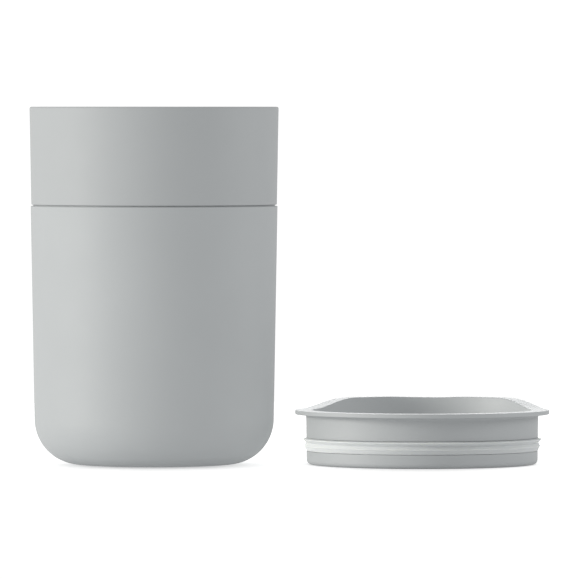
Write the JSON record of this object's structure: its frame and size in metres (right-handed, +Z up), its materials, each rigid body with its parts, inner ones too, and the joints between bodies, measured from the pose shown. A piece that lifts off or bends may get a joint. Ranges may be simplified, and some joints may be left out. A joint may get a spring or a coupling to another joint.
{
  "type": "plastic cup",
  "caption": "Round double-wall plastic drinking cup with a seam below the rim and a rounded base, and a plug lid with a soft seal and a raised drinking lip lying beside it.",
  "frame": {"origin": "on the table, in the middle of the footprint of the cup and the lid", "axes": "+Z up along the cup's axis, +X from the cup towards the lid, +Y away from the viewer"},
  "size_m": [0.1774, 0.0868, 0.122],
  "materials": {
    "band_plastic": "fine matte texture, cool grey",
    "shell_plastic": "fine matte texture, cool grey",
    "lid_plastic": "fine matte texture, cool grey",
    "ring_silicone": "satin white silicone",
    "seal_silicone": "satin, slightly see-through pale silicone"
  },
  "bodies": {
    "cup": {"inner_cup": "band_plastic", "outer_shell": "shell_plastic", "shell_ring": "ring_silicone"},
    "lid": {"lid_body": "lid_plastic", "lid_seal": "seal_silicone"}
  },
  "joints": [
    {"name": "lid_lift", "type": "slide", "parent": "cup", "child": "lid", "axis": [0, 0, 1], "range_m": [0, 0.15]}
  ]
}
